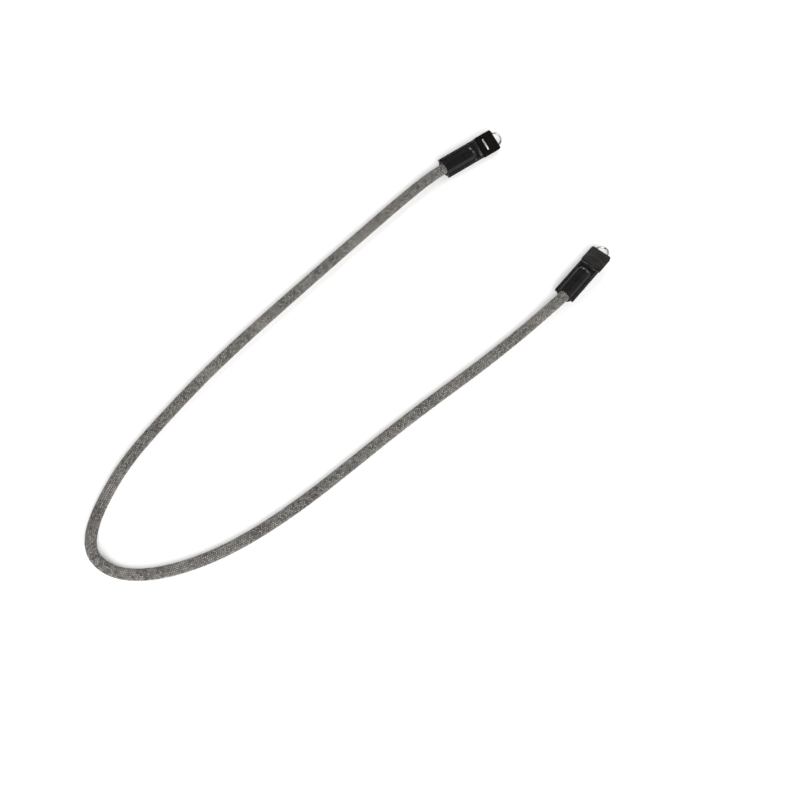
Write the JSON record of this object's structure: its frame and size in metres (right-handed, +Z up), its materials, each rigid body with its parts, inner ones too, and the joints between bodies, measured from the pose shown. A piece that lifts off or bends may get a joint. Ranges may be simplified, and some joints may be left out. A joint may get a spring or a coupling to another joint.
{
  "type": "camera neck strap",
  "caption": "Round braided rope neck strap for a camera, with sewn leather end sleeves, leather guard pads and steel D-rings, laid in an open loop",
  "frame": {"origin": "on the surface that the strap lies on, below the middle of the box round the two end fittings, which are the part without its rope", "axes": "+Z up from the surface, the shortest way through the end fittings; +Y along the longest side of the box round the end fittings, from the right one to the left one; the rope's bend lies towards -X and -Y"},
  "size_m": [0.3913, 0.4234, 0.0126],
  "materials": {
    "braided_rope": "warm grey round braid of twisted cotton-like yarns, matt",
    "black_leather": "near-black smooth leather with a low sheen, sewn with black thread",
    "bright_steel": "polished steel wire"
  },
  "bodies": {
    "root": {"rope": "braided_rope", "left_sleeve": "black_leather", "right_sleeve": "black_leather", "left_guard": "black_leather", "right_guard": "black_leather", "left_ring": "bright_steel", "right_ring": "bright_steel"}
  },
  "joints": []
}
